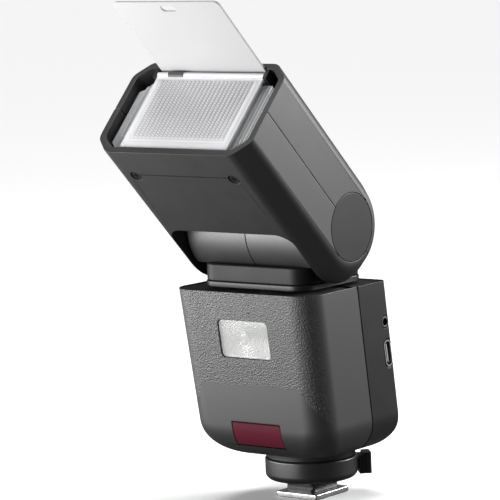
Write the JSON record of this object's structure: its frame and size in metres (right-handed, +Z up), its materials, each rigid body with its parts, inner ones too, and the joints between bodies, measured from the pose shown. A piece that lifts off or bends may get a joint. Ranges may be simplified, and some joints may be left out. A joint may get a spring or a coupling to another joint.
{
  "type": "speedlight flash",
  "caption": "Battery flash on a locking hot shoe foot, with a swivelling and tilting zoom head, flip-down wide panel and pull-out white bounce card.",
  "frame": {"origin": "centre of the hot shoe foot's underside", "axes": "+Z up through the neck's swivel, -Y the way the flash faces when its head is level, +X the side with the sync and charging sockets"},
  "size_m": [0.0678, 0.0948, 0.1853],
  "materials": {
    "grained_plastic": "leather-grained moulded black plastic",
    "black_plastic": "finely etched satin black plastic",
    "drum_plastic": "smooth satin black plastic",
    "dark_plastic": "smooth black plastic",
    "key_plastic": "satin dark grey plastic",
    "dial_plastic": "knurled black plastic",
    "foot_metal": "nickel-plated steel",
    "steel": "bright steel",
    "black_steel": "blackened steel screws",
    "contact_gold": "gold-plated contacts",
    "clear_plastic": "clear moulded plastic with prisms",
    "led_lens": "clear moulded plastic with rings",
    "red_filter": "deep red translucent plastic",
    "white_card": "smooth translucent white sheet",
    "display_glass": "dark glossy window",
    "lcd": "liquid crystal panel",
    "circuit_board": "green solder mask",
    "cell_wrap": "blue shrink wrap",
    "capacitor_sleeve": "black shrink sleeve",
    "copper_core": "wound copper core",
    "bright_reflector": "vacuum metallised",
    "flash_glass": "quartz glass",
    "fibre_washer": "fibre"
  },
  "bodies": {
    "body_unit": {"foot_plate": "foot_metal", "foot_stem": "dark_plastic", "foot_contacts": "contact_gold", "foot_screws": "steel", "lock_ring_housing": "dark_plastic", "base_pad": "dark_plastic", "front_shell": "grained_plastic", "rear_shell": "black_plastic", "led_window": "led_lens", "led_reflector": "bright_reflector", "led_board": "circuit_board", "af_window": "red_filter", "af_board": "circuit_board", "battery_cells": "cell_wrap", "battery_cradle": "dark_plastic", "main_capacitor": "capacitor_sleeve", "transformer": "copper_core", "main_board": "circuit_board", "control_board": "circuit_board", "display_panel": "lcd", "display_window": "display_glass", "dial_encoder": "dark_plastic", "sync_jack": "steel", "usb_port": "steel", "body_screws": "black_steel", "swivel_bearing": "steel"},
    "lock_lever": {"lock_lever": "dark_plastic"},
    "lock_pin": {"lock_pin": "steel"},
    "control_dial": {"control_dial": "dial_plastic"},
    "set_button": {"set_button": "key_plastic"},
    "mode_button": {"mode_button": "key_plastic"},
    "menu_button": {"menu_button": "key_plastic"},
    "test_button": {"test_button": "key_plastic"},
    "power_switch": {"power_switch": "key_plastic"},
    "neck": {"swivel_tube": "steel", "swivel_clip": "steel", "neck_base_plate": "dark_plastic", "neck_collar": "black_plastic", "drum_left": "drum_plastic", "drum_right": "drum_plastic", "detent_spring": "steel", "friction_washers": "fibre_washer"},
    "head": {"hinge_hub_left": "steel", "hinge_hub_right": "steel", "detent_disc": "steel", "head_upper_shell": "black_plastic", "head_lower_shell": "black_plastic", "hinge_cap_left": "black_plastic", "hinge_cap_right": "black_plastic", "lens_frame": "dark_plastic", "fresnel_lens": "clear_plastic", "head_screws": "black_steel", "guide_rods": "steel", "zoom_motor": "steel", "card_tray": "dark_plastic"},
    "zoom_screw": {"zoom_screw": "steel"},
    "zoom_carriage": {"zoom_carriage": "bright_reflector", "flash_tube": "flash_glass"},
    "bounce_card": {"bounce_card": "white_card"},
    "wide_panel": {"wide_panel": "clear_plastic"}
  },
  "joints": [
    {"name": "head_swivel", "type": "hinge", "parent": "body_unit", "child": "neck", "pos_m": [0, -0.013, 0.08], "axis": [0, 0, 1], "range_deg": [-150, 180]},
    {"name": "head_tilt", "type": "hinge", "parent": "neck", "child": "head", "pos_m": [0, -0.016, 0.1018], "axis": [-1, 0, 0], "range_deg": [-45, 75]},
    {"name": "card_slide", "type": "slide", "parent": "head", "child": "bounce_card", "axis": [0, -0.7071, 0.7071], "range_m": [-0.035, 0]},
    {"name": "panel_flip", "type": "hinge", "parent": "head", "child": "wide_panel", "pos_m": [0, -0.04954, 0.15764], "axis": [-1, 0, 0], "range_deg": [0, 90]},
    {"name": "zoom_slide", "type": "slide", "parent": "head", "child": "zoom_carriage", "axis": [0, -0.7071, 0.7071], "range_m": [-0.012, 0]},
    {"name": "zoom_screw_spin", "type": "hinge", "parent": "head", "child": "zoom_screw", "pos_m": [0, -0.05515, 0.11922], "axis": [0, -0.7071, 0.7071], "range_deg": [-1080.1, 0.1]},
    {"name": "dial_spin", "type": "hinge", "parent": "body_unit", "child": "control_dial", "pos_m": [0, 0.01433, 0.03952], "axis": [0, 0.9882, 0.153], "continuous": true},
    {"name": "set_press", "type": "slide", "parent": "body_unit", "child": "set_button", "axis": [0, -0.9882, -0.153], "range_m": [0, 0.0005], "stiffness_N_per_m": 500, "springref_m": -0.0008},
    {"name": "mode_press", "type": "slide", "parent": "body_unit", "child": "mode_button", "axis": [0, -0.9882, -0.153], "range_m": [0, 0.0005], "stiffness_N_per_m": 500, "springref_m": -0.0008},
    {"name": "menu_press", "type": "slide", "parent": "body_unit", "child": "menu_button", "axis": [0, -0.9882, -0.153], "range_m": [0, 0.0005], "stiffness_N_per_m": 500, "springref_m": -0.0008},
    {"name": "test_press", "type": "slide", "parent": "body_unit", "child": "test_button", "axis": [0, -0.9882, -0.153], "range_m": [0, 0.0005], "stiffness_N_per_m": 500, "springref_m": -0.0008},
    {"name": "power_slide", "type": "slide", "parent": "body_unit", "child": "power_switch", "axis": [0, -0.153, 0.9882], "range_m": [0, 0.003]},
    {"name": "lever_turn", "type": "hinge", "parent": "body_unit", "child": "lock_lever", "pos_m": [0, 0, 0.0105], "axis": [0, 0, 1], "range_deg": [0, 80]},
    {"name": "pin_drop", "type": "slide", "parent": "body_unit", "child": "lock_pin", "axis": [0, 0, -1], "range_m": [0, 0.0015]}
  ],
  "couplings": [
    {"joint": "zoom_screw_spin", "follows": "zoom_slide", "rad_per_m": 1570.8},
    {"joint": "pin_drop", "follows": "lever_turn", "m_per_rad": 0.00107}
  ]
}
